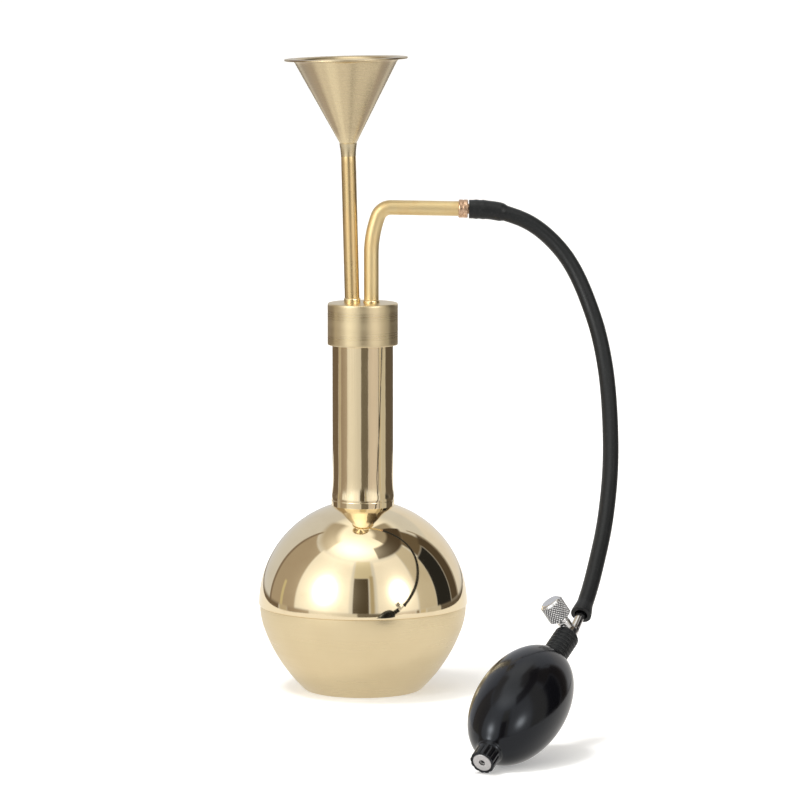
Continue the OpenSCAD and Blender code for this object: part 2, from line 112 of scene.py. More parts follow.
class Mixer:
    # Adds nodes to one material or to the world
    def __init__(self, owner):
        owner.use_nodes = True
        self.owner = owner
        self.tree = owner.node_tree

    def feed(self, socket, value):
        if isinstance(value, Signal):
            self.tree.links.new(value.socket, socket)
        elif isinstance(value, tuple) and len(value) == 3 and len(getattr(socket, "default_value", ())) == 4:
            socket.default_value = (*value, 1.0)
        else:
            socket.default_value = value

    def node(self, kind, settings=None, sockets=None, output=0):
        made = self.tree.nodes.new(kind)
        for name, value in (settings or {}).items():
            setattr(made, name, value)
        for name, value in (sockets or {}).items():
            self.feed(made.inputs[name], value)
        return Signal(self, made.outputs[output])

    # A grain whose cells are size millimetres wide along each axis
    def grain(self, size, detail=3.0, turn=(0, 0, 0), source="Object", middle=(0, 0, 0)):
        place = self.node("ShaderNodeTexCoord", output=source)
        scale = tuple(1 / (cell * mm) if source == "Object" else 1 / cell for cell in size)
        mapped = self.node("ShaderNodeMapping", {},
                           {"Vector": self.centred(place, middle, turn), "Scale": scale})
        return self.node("ShaderNodeTexNoise", {}, {"Vector": mapped, "Scale": 1.0, "Detail": detail})

    # Coordinates about a middle point, turned into the piece's own directions
    def centred(self, place, middle, turn):
        moved = self.node("ShaderNodeVectorMath", {"operation": "SUBTRACT"}, {0: place, 1: middle})
        return self.node("ShaderNodeMapping", {"vector_type": "TEXTURE"}, {"Vector": moved, "Rotation": turn})

    # Goes softly from 0 to 1 as value goes from low to high
    def rise(self, value, low, high):
        return self.node("ShaderNodeMapRange", {"interpolation_type": "SMOOTHSTEP"},
                         {"Value": value, "From Min": low, "From Max": high})

    # The x, y and z of a vector
    def parts(self, vector):
        split = self.tree.nodes.new("ShaderNodeSeparateXYZ")
        self.feed(split.inputs[0], vector)
        return (Signal(self, split.outputs[i]) for i in range(3))

    def blend(self, share, first, second):
        return self.node("ShaderNodeMix", {"data_type": "RGBA"}, {0: share, 6: first, 7: second}, output=2)

    def bump(self, height, strength, distance, under=None):
        sockets = {"Height": height, "Strength": strength, "Distance": distance}
        if under:
            sockets["Normal"] = under
        return self.node("ShaderNodeBump", {}, sockets)


# 1 between low and high and 0 outside, with soft edges
def span(mixer, value, limits, soft):
    low, high = limits
    return mixer.rise(value, low, low + soft) * (1 - mixer.rise(value, high - soft, high))


# A finish: the shader's fixed values, then what changes over the surface, worked out by a recipe
def makeFinish(name, fixed, recipe):
    mixer = Mixer(bpy.data.materials.new(name))
    shader = mixer.tree.nodes["Principled BSDF"]
    for socket, value in fixed.items():
        mixer.feed(shader.inputs[socket], value)
    for socket, value in recipe(mixer).items():
        mixer.feed(shader.inputs[socket], value)
    return mixer.owner


# A finish that is metal all over
def makeMetal(name, recipe):
    return makeFinish(name, {"Metallic": 1.0}, recipe)


# Painted reflections down the funnel's cone, in place of the room mirrored in its brass: where they lie round
# its axis in degrees, and how much they darken it (below 0 lightens)
funnelReflectionBands = [{"round": (-160, -122), "soft": 14, "dark": 0.75},
               {"round": (-118, -96), "soft": 9, "dark": -0.3},
               {"round": (-52, -24), "soft": 12, "dark": 0.7}]
# The dark funnel tone serves both its drawn lines and its painted reflection bands
brassTones = {"streakAndReflection": (0.40, 0.31, 0.20), "bright": (0.90, 0.765, 0.525), "dull": (0.80, 0.655, 0.43),
              "satin": (0.77, 0.645, 0.415), "satinWarm": (0.70, 0.565, 0.345),
              "tube": (0.80, 0.655, 0.37), "tubeRed": (0.76, 0.53, 0.25)}
copperTones = {"bright": (0.72, 0.49, 0.34), "dull": (0.50, 0.33, 0.22)}
solderTones = {"bright": (0.80, 0.65, 0.38), "dull": (0.62, 0.47, 0.26)}
rubberTones = {"bulb": (0.003, 0.003, 0.0042), "bulbDust": (0.012, 0.012, 0.015),
               "hose": (0.008, 0.009, 0.010), "hoseDust": (0.022, 0.023, 0.024)}
steelTones = {"chrome": (0.72, 0.72, 0.73), "steel": (0.58, 0.58, 0.60), "disc": (0.40, 0.38, 0.39),
              "darkSteel": (0.19, 0.19, 0.20), "soot": (0.05, 0.05, 0.05)}


# Mirror brass: faint clouding in the polish, and waves in the spun sheet
def mirrorRecipe(mixer):
    cloud = mixer.grain((14, 14, 9), 4)
    wipe = mixer.grain((40, 40, 0.5), 2)
    smear = mixer.rise(cloud, 0.45, 0.75)
    wave = mixer.grain((30, 30, 22), 1)
    return {"Base Color": mixer.blend(smear * 0.35, brassTones["bright"], brassTones["dull"]),
            "Roughness": 0.045 + smear * 0.03 + mixer.rise(wipe, 0.5, 0.8) * 0.02,
            "Normal": mixer.bump(wave, 0.25, 0.0004)}


# Drawn neck tube: mirror bright, with polishing lines up its length
def neckRecipe(mixer):
    lines = mixer.grain((0.35, 0.35, 60), 4)
    cloud = mixer.grain((9, 9, 22), 3)
    streak = mixer.rise(lines, 0.42, 0.75)
    return {"Base Color": mixer.blend(streak * 0.5, brassTones["bright"], brassTones["dull"]),
            "Roughness": 0.06 + streak * 0.07 + mixer.rise(cloud, 0.5, 0.75) * 0.05,
            "Normal": mixer.bump(lines, 0.12, 0.00006, mixer.bump(cloud, 0.3, 0.0003))}


# Satin brass, turned on a lathe: fine rings, wider bands of dull and bright
def satinRecipe(mixer, turn=(0, 0, 0), middle=(0, 0, 0), rough=0.30, dull=0.0):
    rings = mixer.grain((55, 55, 0.22), 5, turn, middle=middle)
    bands = mixer.grain((60, 60, 3.5), 3, turn, middle=middle)
    cloud = mixer.grain((16, 16, 16), 4, turn, middle=middle)
    shade = mixer.rise(rings, 0.35, 0.7) * 0.12 + mixer.rise(cloud, 0.35, 0.7) * 0.25 + dull
    return {"Base Color": mixer.blend(shade, brassTones["satin"], brassTones["satinWarm"]),
            "Roughness": rough + mixer.rise(bands, 0.35, 0.7) * 0.07 + mixer.rise(rings, 0.4, 0.7) * 0.05,
            "Normal": mixer.bump(rings, 0.045, 0.00003)}


# Funnel brass: satin, with soft bands of painted reflection down the cone, set by the angle about its axis
def funnelRecipe(mixer, turn, middle):
    place = mixer.centred(mixer.node("ShaderNodeTexCoord", output="Object"), middle, turn)
    x, y, z = mixer.parts(place)
    around = y.mathWith("ARCTAN2", y, x) * (180 / math.pi)
    lines = mixer.grain((0.6, 0.6, 50), 4, turn, middle=middle)
    # Share of the dark tone: drawn lines, then the painted reflection bands, faded out towards the spout
    streakAndReflection = 0.3 + mixer.rise(lines, 0.3, 0.7) * 0.15
    for band in funnelReflectionBands:
        streakAndReflection = streakAndReflection + span(mixer, around, band["round"], band["soft"]) * band["dark"]
    streakAndReflectionFoot = stem["length"] + funnel["spout"] * 0.6
    streakAndReflection = streakAndReflection * mixer.rise(z, streakAndReflectionFoot, stem["length"] + funnel["spout"] * 2)
    rings = mixer.grain((60, 60, 0.5), 4, turn, middle=middle)
    return {"Base Color": mixer.blend(streakAndReflection, brassTones["satin"], brassTones["streakAndReflection"]),
            "Roughness": 0.27 + mixer.rise(rings, 0.4, 0.7) * 0.04,
            "Normal": mixer.bump(rings, 0.02, 0.00003)}


# Tube brass: drawn lines along it, warm blotches left by the torch
def tubeRecipe(mixer, turn=(0, 0, 0), warm=0.2, rough=0.25):
    lines = mixer.grain((0.5, 0.5, 45), 4, turn)
    blotch = mixer.grain((5, 5, 14), 4, turn)
    heat = mixer.rise(blotch, 0.42, 0.72)
    return {"Base Color": mixer.blend(heat * 0.3 + warm, brassTones["tube"], brassTones["tubeRed"]),
            "Roughness": rough + heat * 0.08 + mixer.rise(lines, 0.4, 0.7) * 0.04,
            "Normal": mixer.bump(lines, 0.08, 0.00005, mixer.bump(blotch, 0.12, 0.0002))}


# Copper and solder: mottled, a little lumpy
def copperRecipe(mixer, tones=copperTones):
    mottle = mixer.grain((1.1, 1.1, 1.1), 4)
    dull = mixer.rise(mottle, 0.40, 0.65)
    return {"Base Color": mixer.blend(dull, tones["bright"], tones["dull"]),
            "Roughness": 0.24 + dull * 0.18, "Normal": mixer.bump(mottle, 0.35, 0.00015)}


# Moulded bulb rubber: glossy, with specks of dust
def bulbRecipe(mixer):
    cloud = mixer.grain((10, 10, 10), 3)
    speck = mixer.grain((0.35, 0.35, 0.35), 2)
    dust = mixer.rise(speck, 0.66, 0.78)
    return {"Base Color": mixer.blend(dust * 0.5, rubberTones["bulb"], rubberTones["bulbDust"]),
            "Roughness": 0.12 + mixer.rise(cloud, 0.35, 0.7) * 0.05 + dust * 0.12,
            "Normal": mixer.bump(speck, 0.06, 0.00003)}


# Drawn hose rubber: satin, with faint lines along it
def hoseRecipe(mixer):
    place = mixer.node("ShaderNodeTexCoord", output=2)
    mapped = mixer.node("ShaderNodeMapping", {}, {"Vector": place, "Scale": (60.0, 6.0, 1.0)})
    lines = mixer.node("ShaderNodeTexNoise", {}, {"Vector": mapped, "Scale": 1.0, "Detail": 3.0})
    dust = mixer.grain((0.8, 0.8, 0.8), 4)
    pale = mixer.rise(dust, 0.5, 0.75) * 0.6 + mixer.rise(lines, 0.5, 0.75) * 0.4
    return {"Base Color": mixer.blend(pale, rubberTones["hose"], rubberTones["hoseDust"]),
            "Roughness": 0.36 + pale * 0.16, "Normal": mixer.bump(dust, 0.12, 0.00006)}


# Soft seal rubber
def sealRecipe(mixer):
    dust = mixer.grain((0.6, 0.6, 0.6), 3)
    return {"Base Color": mixer.blend(dust, rubberTones["hose"], rubberTones["hoseDust"]),
            "Roughness": 0.5 + dust * 0.2}


# Bright plating, with scuffs
def chromeRecipe(mixer):
    scuff = mixer.grain((0.7, 0.7, 0.7), 4)
    worn = mixer.rise(scuff, 0.5, 0.8)
    return {"Base Color": mixer.blend(worn * 0.4, steelTones["chrome"], steelTones["steel"]),
            "Roughness": 0.12 + worn * 0.16, "Normal": mixer.bump(scuff, 0.08, 0.00004)}


# Knurled plating: darker and rougher in the crossed grooves, by the same formula as their shape
def knurlRecipe(mixer):
    place = mixer.node("ShaderNodeTexCoord", output="Object")
    x, y, z = mixer.parts(mixer.centred(place, tuple(knobOrigin), knobTurn))
    around = y.mathWith("ARCTAN2", y, x) * (knob["ridges"] / 2)
    lead = z * (math.pi / knob["pitch"] / 2)
    first, second = (phase.mathWith("ABSOLUTE", phase.mathWith("SINE", phase))
                     for phase in (around + lead, around - lead))
    outer = mixer.rise((x * x + y * y) ** 0.5, knobRadius - 1.1 * mm, knobRadius - 0.8 * mm)
    side = outer * (1 - mixer.rise(z, knobEdge, knobTop - knob["chamfer"] * 0.7))
    scuff = mixer.grain((0.7, 0.7, 0.7), 4)
    groove = (1 - mixer.rise(first * second, 0.15, 0.75)) * side
    return {"Base Color": mixer.blend(groove, steelTones["chrome"], steelTones["darkSteel"]),
            "Roughness": 0.14 + mixer.rise(scuff, 0.5, 0.8) * 0.12 + groove * 0.2}


# Turned steel of the valve parts
def steelRecipe(mixer):
    lines = mixer.grain((0.3, 0.3, 0.3), 3)
    return {"Base Color": mixer.blend(lines, steelTones["steel"], steelTones["chrome"]),
            "Roughness": 0.25 + lines * 0.15}


# Steel dulled by rubber dust
def dimSteelRecipe(mixer):
    dust = mixer.grain((0.4, 0.4, 0.4), 3)
    return {"Base Color": mixer.blend(dust, steelTones["darkSteel"], steelTones["soot"]),
            "Roughness": 0.5 + dust * 0.2}


# Pale inlet disc
def discRecipe(mixer):
    lines = mixer.grain((0.5, 0.5, 0.5), 3)
    return {"Base Color": mixer.blend(lines, steelTones["disc"], steelTones["chrome"]),
            "Roughness": 0.34 + lines * 0.12, "Normal": mixer.bump(lines, 0.1, 0.00004)}


def unit(vectors):
    vectors = np.asarray(vectors, float)
    return vectors / np.linalg.norm(vectors, axis=-1, keepdims=True)


# An outline whose corners are rounded: each corner P between A and B becomes the curve
# (1-s)^2 A + 2s(1-s) P + s^2 B, where A and B lie at the distance cut from P along its two sides
def softened(corners, cut, steps=5, closed=True):
    corners = np.asarray(corners, float)
    before, after = np.roll(corners, 1, 0), np.roll(corners, -1, 0)
    toBefore, toAfter = before - corners, after - corners
    cut = np.broadcast_to(np.asarray(cut, float), len(corners))[:, None]
    shareBefore = np.minimum(cut / np.maximum(np.linalg.norm(toBefore, axis=1, keepdims=True), 1e-12), 0.45)
    shareAfter = np.minimum(cut / np.maximum(np.linalg.norm(toAfter, axis=1, keepdims=True), 1e-12), 0.45)
    start, end = corners + shareBefore * toBefore, corners + shareAfter * toAfter
    s = np.linspace(0, 1, steps)[None, :, None]
    rounded = ((1 - s) ** 2 * start[:, None] + 2 * s * (1 - s) * corners[:, None] + s ** 2 * end[:, None])
    if closed:
        return rounded.reshape(-1, 2)
    return np.concatenate([corners[:1], rounded[1:-1].reshape(-1, 2), corners[-1:]])


# Adds points between those of an outline, so that no step is longer than reach
def filled(outline, reach, closed=True):
    outline = np.asarray(outline, float)
    ends = np.roll(outline, -1, 0) if closed else outline[1:]
    starts = outline if closed else outline[:-1]
    counts = np.maximum(np.ceil(np.linalg.norm(ends - starts, axis=1) / reach).astype(int), 1)
    index = np.repeat(np.arange(len(starts)), counts)
    share = (np.arange(counts.sum()) - np.repeat(np.cumsum(counts) - counts, counts)) / counts[index]
    points = starts[index] + share[:, None] * (ends - starts)[index]
    return points if closed else np.concatenate([points, outline[-1:]])


# An arc about centre: centre + radius (cos a, sin a), with a from first to last in degrees
def arc(centre, radius, first, last, steps):
    a = np.radians(np.linspace(first, last, steps))
    return np.stack([centre[0] + radius * np.cos(a), centre[1] + radius * np.sin(a)], 1)


# Two directions square to axis; the first is as near to hint as it can be
def acrossAxis(axis, hint):
    axis = unit(axis)
    side = unit(np.asarray(hint, float) - axis * np.dot(hint, axis))
    return side, np.cross(axis, side)


# A turned shape: point (t, a) is origin + t axis + r (cos a side + sin a up), r and t from the outline;
# swell changes r by a share of each point's place, given as a function of r, t and a
def turned(outline, origin=(0, 0, 0), axis=(0, 0, 1), hint=(1, 0, 0), around=128, swell=None):
    axis = unit(axis)
    side, up = acrossAxis(axis, hint)
    a = np.linspace(0, 2 * np.pi, around, endpoint=False)[None, :]
    r, t = outline[:, :1] + 0 * a, outline[:, 1:] + 0 * a
    if swell:
        r, t = swell(r, t, a + 0 * r)
    ring = np.cos(a)[..., None] * side + np.sin(a)[..., None] * up
    return np.asarray(origin, float) + t[..., None] * axis + r[..., None] * ring


# A tube along a path: point (i, a) is path(i) + r(i) (cos a side(i) + sin a up(i)),
# where side(i) is square to both the path and the hint
def swept(path, radius, hint, around=48):
    heading = unit(np.gradient(path, axis=0))
    side = unit(np.cross(np.asarray(hint, float), heading))
    up = np.cross(heading, side)
    a = np.linspace(0, 2 * np.pi, around, endpoint=False)[None, :, None]
    radius = np.broadcast_to(radius, len(path))[:, None, None]
    return path[:, None] + radius * (np.cos(a) * side[:, None] + np.sin(a) * up[:, None])


# A hollow tube along a path: the outside forwards, then the bore backwards, closed at both ends
def sweptShell(path, outer, bore, hint, around=48):
    return np.concatenate([swept(path, outer, hint, around), swept(path, bore, hint, around)[::-1]])


# One piece from grids of points. Each grid closes round its columns; its rows close too when looped is true.
def makePiece(name, grids, body, finish, replaced=(), looped=True, sharp=38):
    places, quads, wraps, count = [], [], [], 0
    for grid in grids:
        rows, columns = grid.shape[:2]
        row = np.arange(rows if looped else rows - 1)[:, None]
        column = np.arange(columns)[None, :]
        nextRow, nextColumn = (row + 1) % rows, (column + 1) % columns
        quad = np.stack([row * columns + column, row * columns + nextColumn,
                         nextRow * columns + nextColumn, nextRow * columns + column], -1)
        steps = np.linalg.norm(np.diff(grid[:, 0], axis=0, append=grid[:1, 0]), axis=1)
        along = np.concatenate([[0], np.cumsum(steps)])
        u = np.stack([column, column + 1, column + 1, column], -1) / columns + 0 * row[..., None]
        v = np.stack([along[row], along[row], along[row + 1], along[row + 1]], -1) + 0 * column[..., None]
        places.append(grid.reshape(-1, 3))
        quads.append(quad.reshape(-1, 4) + count)
        wraps.append(np.stack([u, v * 10], -1).reshape(-1, 2))
        count += rows * columns
    mesh = bpy.data.meshes.new(name)
    mesh.from_pydata(np.concatenate(places).tolist(), [], np.concatenate(quads).tolist())
    mesh.uv_layers.new(name="wrap").data.foreach_set("uv", np.concatenate(wraps).ravel())
    shape = bmesh.new()
    shape.from_mesh(mesh)
    bmesh.ops.remove_doubles(shape, verts=shape.verts, dist=1e-7)
    bmesh.ops.recalc_face_normals(shape, faces=shape.faces)
    shape.to_mesh(mesh)
    shape.free()
    mesh.polygons.foreach_set("use_smooth", [True] * len(mesh.polygons))
    mesh.set_sharp_from_angle(angle=math.radians(sharp))
    mesh.materials.append(finish)
    piece = bpy.data.objects.new(name, mesh)
    bpy.context.scene.collection.objects.link(piece)
    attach(piece, body)
    if replaced:
        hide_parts(*replaced)
    return piece


runDirection = -np.array(joints["hose_swivel"]["axis"], float)
runEnd = np.array(joints["hose_swivel"]["pos_m"], float)

hose = {"diameter": 7.4 * mm, "bore": 4 * mm, "cuff": 8.9 * mm, "cuffLength": 15 * mm, "cuffFade": 3 * mm,
        "flare": 9.4 * mm, "flareLength": 8 * mm, "cuffBore": 6 * mm, "barbs": (3.4 * mm, 6.7 * mm),
        "barbSwell": 0.22 * mm, "barbWidth": 0.9 * mm, "perSpan": 8, "relax": 60, "around": 56,
        "side": (0, -1, 0.4), "fadeFrom": 11 * mm, "length": 0.253}
hoseRoute = np.array([
    (50.5, 0, 230.5), (58, 0, 230.5), (65, -0.5, 229.5), (68, -1, 228.5), (73, -1.5, 227),
    (79.5, -2.5, 224.5), (86.5, -4, 219.5), (92.5, -6, 213.5), (97, -8, 208), (100.5, -10, 202),
    (104, -12.5, 195),
    (107, -15.5, 187), (109.5, -18.5, 180), (111.5, -22, 173.5), (114, -28, 161.5), (115.5, -35, 149),
    (116, -44, 135), (116, -55, 120), (115, -64, 109.5), (113.5, -73, 99), (111.5, -83, 88.5),
    (109, -91.5, 80.5), (106.5, -100.5, 72.5), (104.5, -107.5, 66.5), (102, -114.5, 60.5),
    (99.5, -121, 55.5)]) * mm


# A smooth line through points, by the Catmull-Rom formula: between P1 and P2, with P0 before and P3 after,
# (2 P1 + (P2 - P0) s + (2 P0 - 5 P1 + 4 P2 - P3) s^2 + (3 P1 - P0 - 3 P2 + P3) s^3) / 2
def smoothLine(points, perSpan):
    padded = np.concatenate([2 * points[:1] - points[1:2], points, 2 * points[-1:] - points[-2:-1]])
    p0, p1, p2, p3 = (padded[i:len(padded) - 3 + i, None] for i in range(4))
    s = (np.arange(perSpan) / perSpan)[None, :, None]
    line = (2 * p1 + (p2 - p0) * s + (2 * p0 - 5 * p1 + 4 * p2 - p3) * s ** 2
            + (3 * p1 - p0 - 3 * p2 + p3) * s ** 3) / 2
    return np.concatenate([line.reshape(-1, 3), points[-1:]])


# Averages each point with its neighbours, and leaves the two ends where they are
def relaxed(line, times):
    for _ in range(times):
        line = np.concatenate([line[:1], (line[:-2] + 2 * line[1:-1] + line[2:]) / 4, line[-1:]])
    return line


def ease(value, low, high):
    share = np.clip((value - low) / (high - low), 0, 1)
    return share * share * (3 - 2 * share)


hosePath = relaxed(smoothLine(hoseRoute, hose["perSpan"]), hose["relax"])
hoseAlong = np.concatenate([[0], np.cumsum(np.linalg.norm(np.diff(hosePath, axis=0), axis=1))])
atCuff = 1 - ease(hoseAlong, hose["cuffLength"], hose["cuffLength"] + hose["cuffFade"])
hoseEnd = hoseAlong[-1]
atFlare = ease(hoseAlong, hoseEnd - hose["flareLength"], hoseEnd)
overBarbs = sum(np.exp(-((hoseAlong - barb) / hose["barbWidth"]) ** 2) for barb in hose["barbs"])
hoseOuter = (hose["diameter"] / 2 + (hose["cuff"] - hose["diameter"]) / 2 * atCuff
             + (hose["flare"] - hose["diameter"]) / 2 * atFlare + hose["barbSwell"] * overBarbs)
overTube = ease(hoseAlong, hoseEnd - hose["fadeFrom"], hoseEnd - hose["flareLength"])
stretched = np.maximum(atCuff, overTube)
hoseBore = hose["bore"] / 2 + (hose["cuffBore"] - hose["bore"]) / 2 * stretched

hoseRubber = makeFinish("hoseRubber", {"Specular IOR Level": 0.30}, hoseRecipe)
hoseGrid = sweptShell(hosePath, hoseOuter, hoseBore, hose["side"], hose["around"])
hosePiece = makePiece("hose_rubber", [hoseGrid], "blower", hoseRubber, ["hose"])
print("hose laid, length", round(float(hoseEnd), 4))


domeLow, domeHigh = (np.array(corner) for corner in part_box("flask_dome"))
neckLow, neckHigh = (np.array(corner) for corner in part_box("neck_tube"))
seamHeight = float(domeLow[2])
domeRadius = float(domeHigh[0])
neckRadius = float(neckHigh[0])
neckFoot, neckTop = float(neckLow[2]), float(neckHigh[2])

flask = {"sheet": 1 * mm, "seamStep": 0.6 * mm, "shoulder": 34 * mm, "shoulderTurn": 19, "belly": 73 * mm,
         "lapHeight": 3 * mm, "lapGap": 0.15 * mm, "rimTurn": 0.35 * mm,
         "around": 224, "rows": 90}

mirrorBrass = makeMetal("mirrorBrass", mirrorRecipe)
neckBrass = makeMetal("neckBrass", neckRecipe)
bowlBrass = makeMetal("bowlBrass", lambda mixer: satinRecipe(mixer, rough=0.27))

# Dome: a spun half ball, open at the neck, with a thin rounded rim at the seam
neckAngle = math.degrees(math.acos(neckRadius / domeRadius))
innerAngle = math.degrees(math.acos(neckRadius / (domeRadius - flask["sheet"])))
domeRim = flask["rimTurn"]
domeOutline = np.concatenate([
    [(domeRadius - domeRim, seamHeight), (domeRadius - domeRim / 3, seamHeight + domeRim / 4)],
    arc((0, seamHeight), domeRadius, 0.6, neckAngle, flask["rows"]),
    arc((0, seamHeight), domeRadius - flask["sheet"], innerAngle, 0, flask["rows"])])
makePiece("dome", [turned(domeOutline, around=flask["around"])], "flask",
          mirrorBrass, ["flask_dome"])

# Bowl: flat base, a wide belly, a tighter shoulder and a lap inside the dome
bowlRadius = domeRadius - flask["seamStep"]
shoulderMiddle = (bowlRadius - flask["shoulder"], seamHeight)
shoulderTurn = math.radians(flask["shoulderTurn"])
bellyReach = flask["belly"] - flask["shoulder"]
bellyMiddle = (shoulderMiddle[0] - bellyReach * math.cos(shoulderTurn),
               seamHeight + bellyReach * math.sin(shoulderTurn))


# The belly's lower end: the angle below its middle where the wall, set in by depth, is at height
def bellyTurn(height, depth):
    return math.degrees(math.asin((bellyMiddle[1] - height) / (flask["belly"] - depth)))


lapRadius = domeRadius - flask["sheet"] - flask["lapGap"]
base = {"cornerHeight": 1.6 * mm, "cornerIn": 1.9 * mm, "flatTo": -1.2 * mm, "peak": 0.4 * mm,
        "round": 1.4 * mm, "hollow": 0.4 * mm, "rimIn": 4 * mm, "rimOut": 2 * mm, "seamEdge": 0.25 * mm}
belly = arc(bellyMiddle, flask["belly"], -bellyTurn(base["cornerHeight"], 0), -flask["shoulderTurn"], 40)
baseRadius = belly[0, 0] - base["cornerIn"]
baseCorner = softened([(baseRadius + base["flatTo"], 0), (baseRadius + base["peak"], 0), belly[0]],
                      base["round"], 9, closed=False)
lapTop = seamHeight + flask["lapHeight"]
bowlOutline = np.concatenate([
    [(0, base["hollow"]), (baseRadius - base["rimIn"], base["hollow"]), (baseRadius - base["rimOut"], 0)],
    baseCorner[:-1], belly,
    arc(shoulderMiddle, flask["shoulder"], -flask["shoulderTurn"], -0.4, 30)[1:],
    [(bowlRadius - base["seamEdge"], seamHeight), (lapRadius, seamHeight), (lapRadius, lapTop),
     (lapRadius - flask["sheet"], lapTop)],
    arc(shoulderMiddle, flask["shoulder"] - flask["sheet"], -2, -flask["shoulderTurn"], 16),
    arc(bellyMiddle, flask["belly"] - flask["sheet"], -flask["shoulderTurn"],
        -bellyTurn(flask["sheet"], flask["sheet"]), 24)[1:],
    [(0, flask["sheet"] + base["hollow"])]])
makePiece("bowl", [turned(filled(bowlOutline, 1.5 * mm, closed=False), around=flask["around"])],
          "flask", bowlBrass, ["flask_bowl"], looped=False)

# Neck: a straight tube with a rounded mouth; its foot spreads a little, as the square of the way down
neckBore = neckRadius - flask["sheet"]
neckCorners = [(neckRadius, neckFoot), (neckRadius, neckTop), (neckBore, neckTop), (neckBore, neckFoot)]
neckOutline = filled(softened(neckCorners, 0.3 * mm), 1 * mm)
neckFlare = {"height": 16 * mm, "out": 1.2 * mm, "most": 0.52 * mm}
flareShare = np.clip((neckFoot + neckFlare["height"] - neckOutline[:, 1]) / neckFlare["height"], 0, 1)
flareOut = np.minimum(neckFlare["out"] * flareShare ** 2, neckFlare["most"])
neckOutline[:, 0] += flareOut * (neckOutline[:, 0] > neckRadius - 0.4 * mm)
makePiece("neck", [turned(neckOutline, around=160)], "flask", neckBrass,
          ["neck_tube"])

# Band round the neck's foot: a low rolled ring with a hollow fillet down to the dome
band = {"out": 0.6 * mm, "round": 0.45 * mm, "tuck": 0.2 * mm}
bandTop = float(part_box("neck_foot_ring")[1][2])
bandFoot = seamHeight + math.sqrt(domeRadius ** 2 - (neckRadius + band["out"]) ** 2) - 0.2 * mm
bandInside = neckRadius - band["tuck"]
bandCorners = [(bandInside, bandFoot), (neckRadius + band["out"], bandFoot),
               (neckRadius + band["out"], bandTop), (bandInside, bandTop)]
bandOutline = filled(softened(bandCorners, [0.05 * mm, 0.1 * mm, band["round"], 0.05 * mm], 7), 0.4 * mm)
makePiece("neck_band", [turned(bandOutline, around=192)], "flask",
          mirrorBrass, ["neck_foot_ring"])
print("flask built")


capLow, capHigh = (np.array(corner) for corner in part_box("cap"))
capRadius = float(capHigh[0])
capTop = float(capHigh[2])
capFoot = float(capLow[2])
cap = {"edge": 0.9 * mm, "gap": 0.08 * mm, "plate": 2.7 * mm, "around": 192}
capBore = neckRadius + cap["gap"]
capBrass = makeMetal("capBrass", lambda mixer: satinRecipe(mixer, rough=0.26, dull=-0.15))
capCeiling = capTop - cap["plate"]
capCorners = [(0, capTop), (0, capCeiling), (capBore, capCeiling), (capBore, capFoot),
              (capRadius, capFoot), (capRadius, capTop)]
capCuts = [0, 0, 0.2 * mm, 0.3 * mm, 0.4 * mm, cap["edge"]]
capOutline = np.concatenate([
    [(0, capCeiling)], filled(softened(capCorners, capCuts, 7)[5:], 1.2 * mm, closed=False), [(0, capTop)]])
makePiece("cap_shell", [turned(capOutline, around=cap["around"])], "head",
          capBrass, ["cap"], looped=False)

# Tubes in the cap
stem = {"foot": (-5 * mm, 0, capTop), "lean": 1.4, "length": 69.7 * mm, "footBelow": 35.9 * mm}
tube = {"radius": 3.5 * mm, "bore": 2.7 * mm, "bush": 3.9 * mm}
stemAxis = np.array([-math.sin(math.radians(stem["lean"])), 0, math.cos(math.radians(stem["lean"]))])
pipeFoot = np.array([4.1 * mm, 0, capTop])
stemFoot = np.array(stem["foot"])
stemTurn = (0, -math.radians(stem["lean"]), 0)

bushBrass = makeMetal("bushBrass", tubeRecipe)
copperFinish = makeMetal("copperFinish", copperRecipe)
solderFinish = makeMetal("solderFinish", lambda mixer: copperRecipe(mixer, solderTones))
bushes = {"stem": {"foot": stemFoot, "axis": stemAxis, "height": 1.7 * mm},
          "pipe": {"foot": pipeFoot, "axis": np.array((0.0, 0.0, 1.0)), "height": 0.7 * mm}}
for kind, bush in bushes.items():
    bushOutline = filled(softened([
        (tube["radius"], -cap["plate"] - 1.5 * mm), (tube["bush"], -cap["plate"] - 1.5 * mm),
        (tube["bush"], bush["height"]), (tube["radius"], bush["height"])], 0.15 * mm), 0.8 * mm)
    makePiece(kind + "_bush_ring", [turned(bushOutline, bush["foot"], bush["axis"], around=72)], "head",
              bushBrass, [kind + "_bush"])

# Solder: a fillet that wanders a little round the tube
solder = {"height": 0.62 * mm, "wander": 0.10 * mm, "foot": 0.1 * mm}


def solderSwell(r, t, a):
    wave = np.sin(3 * a + 0.6) + 0.6 * np.sin(7 * a) + 0.4 * np.sin(13 * a + 2)
    out = np.clip((r - tube["radius"]) / (0.4 * mm), 0, 1)
    return r + out * solder["wander"] * wave * 0.5, t + out * solder["wander"] * wave * 0.4


for kind, bush in bushes.items():
    solderOutline = filled(softened([
        (tube["radius"] - 0.05 * mm, -0.1 * mm), (tube["bush"] + solder["foot"], -0.1 * mm),
        (tube["bush"] - 0.02 * mm, solder["height"] * 0.6), (tube["radius"] + 0.1 * mm, solder["height"]),
        (tube["radius"] - 0.05 * mm, solder["height"])], 0.12 * mm, 5), 0.2 * mm)
    solderFoot = bush["foot"] + bush["height"] * unit(bush["axis"])
    makePiece(kind + "_solder_ring", [turned(solderOutline, solderFoot, bush["axis"], around=96,
              swell=solderSwell)], "head", solderFinish, [kind + "_solder"])
print("cap built")


stemBrass = makeMetal("stemBrass", lambda mixer: tubeRecipe(mixer, stemTurn, warm=0.5))
stemCorners = [(tube["radius"], -stem["footBelow"]), (tube["radius"], stem["length"]),
               (tube["bore"], stem["length"]), (tube["bore"], -stem["footBelow"])]
stemOutline = filled(softened(stemCorners, 0.15 * mm), 3 * mm)
makePiece("stem_tube", [turned(stemOutline, stemFoot, stemAxis, around=96)], "head",
          stemBrass, ["funnel_stem"])

